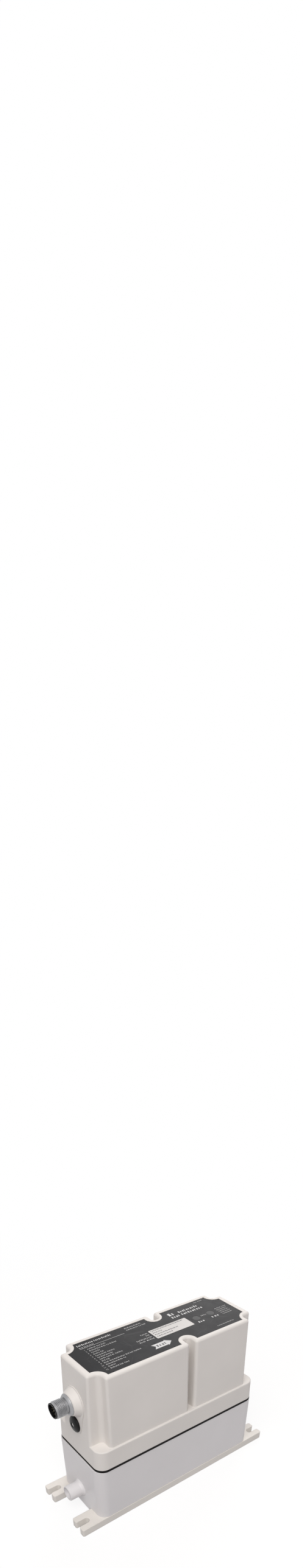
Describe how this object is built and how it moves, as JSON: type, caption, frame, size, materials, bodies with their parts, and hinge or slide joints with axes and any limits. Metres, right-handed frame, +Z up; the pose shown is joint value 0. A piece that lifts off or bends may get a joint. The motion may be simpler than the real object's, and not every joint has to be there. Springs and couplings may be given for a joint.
{
  "type": "flow controller",
  "caption": "Inline liquid flow controller: notched plastic cover over a ported body on a slotted, ribbed base plate, with a round plug connector and vent at one end.",
  "frame": {"origin": "centre of the bounding box's bottom face, which is the centre of the base plate's mounting face", "axes": "+X along the flow from the inlet end, which carries the connector, to the outlet end; +Z up from the mounting face; Y across"},
  "size_m": [0.178, 0.0556, 0.1229],
  "materials": {
    "base_plastic": "moulded, satin",
    "body_plastic": "machined fluoropolymer, satin",
    "cover_plastic": "moulded, fine satin",
    "black_rubber": "matt",
    "label_black": "satin film",
    "label_pale": "satin film",
    "lens_grey": "gloss",
    "sticker_red": "satin paper",
    "connector_metal": "bead-blasted",
    "black_plastic": "satin",
    "gold_contact": "gold plated",
    "steel": "turned",
    "dark_steel": "blackened",
    "brass": "turned",
    "white_membrane": "porous film",
    "board_green": "solder resist",
    "seal_white": "satin",
    "motor_can": "rolled can"
  },
  "bodies": {
    "housing": {"base_plate": "base_plastic", "wetted_body": "body_plastic", "cover_gasket": "black_rubber", "cover": "cover_plastic", "top_label": "label_black", "top_label_panel": "label_pale", "status_lenses": "lens_grey", "end_label": "label_black", "end_label_panel": "label_pale", "round_stickers": "sticker_red", "connector_shell": "connector_metal", "connector_insulator": "black_plastic", "connector_pins": "gold_contact", "connector_seal": "black_rubber", "connector_nut": "connector_metal", "vent_plug": "black_plastic", "vent_membrane": "white_membrane", "assembly_screws": "dark_steel", "threaded_inserts": "brass", "orifice_insert": "seal_white", "upstream_pressure_sensor": "steel", "downstream_pressure_sensor": "steel", "sensor_seals": "seal_white", "sensor_retaining_rings": "seal_white", "valve_diaphragm": "seal_white", "valve_bonnet": "seal_white", "valve_motor": "motor_can", "motor_screws": "steel", "main_board": "board_green", "board_screws": "steel", "board_components": "black_plastic", "status_lamps": "lens_grey", "wiring_leads": "black_plastic"},
    "stem": {"valve_stem": "steel"}
  },
  "joints": [
    {"name": "valve_stroke", "type": "slide", "parent": "housing", "child": "stem", "axis": [0, 0, 1], "range_m": [-0.0012, 0], "deforming": ["valve_diaphragm"]}
  ]
}
